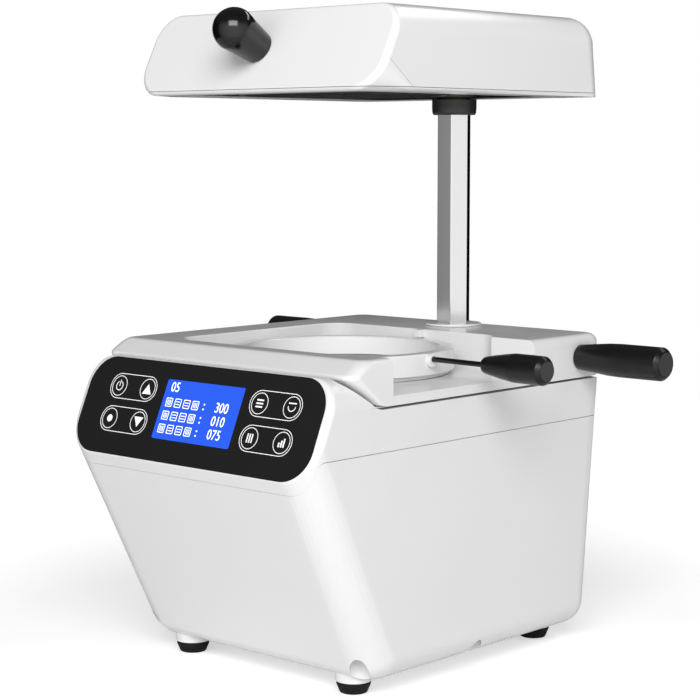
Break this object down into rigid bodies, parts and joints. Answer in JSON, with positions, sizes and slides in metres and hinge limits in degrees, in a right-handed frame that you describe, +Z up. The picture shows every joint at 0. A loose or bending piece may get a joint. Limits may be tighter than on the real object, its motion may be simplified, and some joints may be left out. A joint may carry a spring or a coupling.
{
  "type": "vacuum packing machine",
  "caption": "Bench-top vacuum packing and forming machine: slant-front base with panel, hexagonal column, sliding film carriage with clamp ring, and swinging heater head.",
  "frame": {"origin": "on the bench surface, under the middle of the machine's bounding box in x and y", "axes": "+Z up along the column, -Y to the front with the control panel, +X to the machine's right-hand side as seen from the front, where the lever is"},
  "size_m": [0.373, 0.3042, 0.4432],
  "materials": {
    "white_plastic": "moulded white plastic, satin",
    "black_plastic": "moulded black plastic, satin",
    "gloss_black": "glossy black phenolic",
    "panel_film": "matte black overlay film with white print",
    "display": "blue back-lit graphic display under a clear window",
    "circuit_board": "green glass-fibre board with parts",
    "aluminium": "satin anodised",
    "steel": "zinc plated",
    "dark_steel": "dark grey satin",
    "rubber": "moulded rubber",
    "ceramic": "unglazed heater ceramic",
    "bronze": "sintered bronze"
  },
  "bodies": {
    "base": {"base_tub": "white_plastic", "upper_housing": "white_plastic", "control_panel": "panel_film", "lcd_module": "display", "control_board": "circuit_board", "vacuum_platen": "aluminium", "platen_seal": "rubber", "vacuum_chamber": "black_plastic", "blower_housing": "black_plastic", "blower_motor": "steel", "motor_mount": "rubber", "exhaust_duct": "black_plastic", "power_board": "circuit_board", "mains_inlet": "black_plastic", "switch_body": "black_plastic", "column_socket": "dark_steel", "column": "aluminium", "column_bolt": "steel", "pivot_pin": "steel", "pivot_nut": "steel", "foot_front_left": "rubber", "foot_screw_front_left": "steel", "foot_front_right": "rubber", "foot_screw_front_right": "steel", "foot_rear_left": "rubber", "foot_screw_rear_left": "steel", "foot_rear_right": "rubber", "foot_screw_rear_right": "steel"},
    "carriage": {"carriage": "white_plastic", "column_bushing": "white_plastic", "film_seat": "white_plastic", "film_gasket": "rubber", "left_handle": "black_plastic", "left_handle_stud": "steel", "right_handle": "black_plastic", "right_handle_stud": "steel"},
    "clamp_ring": {"clamp_ring": "white_plastic", "lever_rod": "dark_steel", "lever_grip": "black_plastic"},
    "head": {"head_cover": "white_plastic", "head_tray": "white_plastic", "heat_shield": "black_plastic", "heater_reflector": "steel", "heater_element": "ceramic", "heater_guard": "dark_steel", "pivot_hub": "dark_steel", "pivot_bearing": "bronze", "head_collar": "dark_steel", "head_knob": "gloss_black", "knob_stud": "steel"},
    "power_rocker": {"power_rocker": "black_plastic"},
    "impeller": {"blower_impeller": "aluminium"}
  },
  "joints": [
    {"name": "carriage_slide", "type": "slide", "parent": "base", "child": "carriage", "axis": [0, 0, 1], "range_m": [0, 0.149]},
    {"name": "clamp_ring_turn", "type": "hinge", "parent": "carriage", "child": "clamp_ring", "pos_m": [0, 0.0035, 0.21], "axis": [0, 0, 1], "range_deg": [-24, 24]},
    {"name": "head_swing", "type": "hinge", "parent": "base", "child": "head", "pos_m": [0, 0.124, 0.388], "axis": [0, 0, 1], "range_deg": [-90, 90]},
    {"name": "power_rocker_tilt", "type": "hinge", "parent": "base", "child": "power_rocker", "pos_m": [-0.06, 0.1459, 0.096], "axis": [1, 0, 0], "range_deg": [-12, 0]},
    {"name": "impeller_spin", "type": "hinge", "parent": "base", "child": "impeller", "pos_m": [0, 0.0035, 0.105], "axis": [0, 0, 1], "continuous": true}
  ]
}
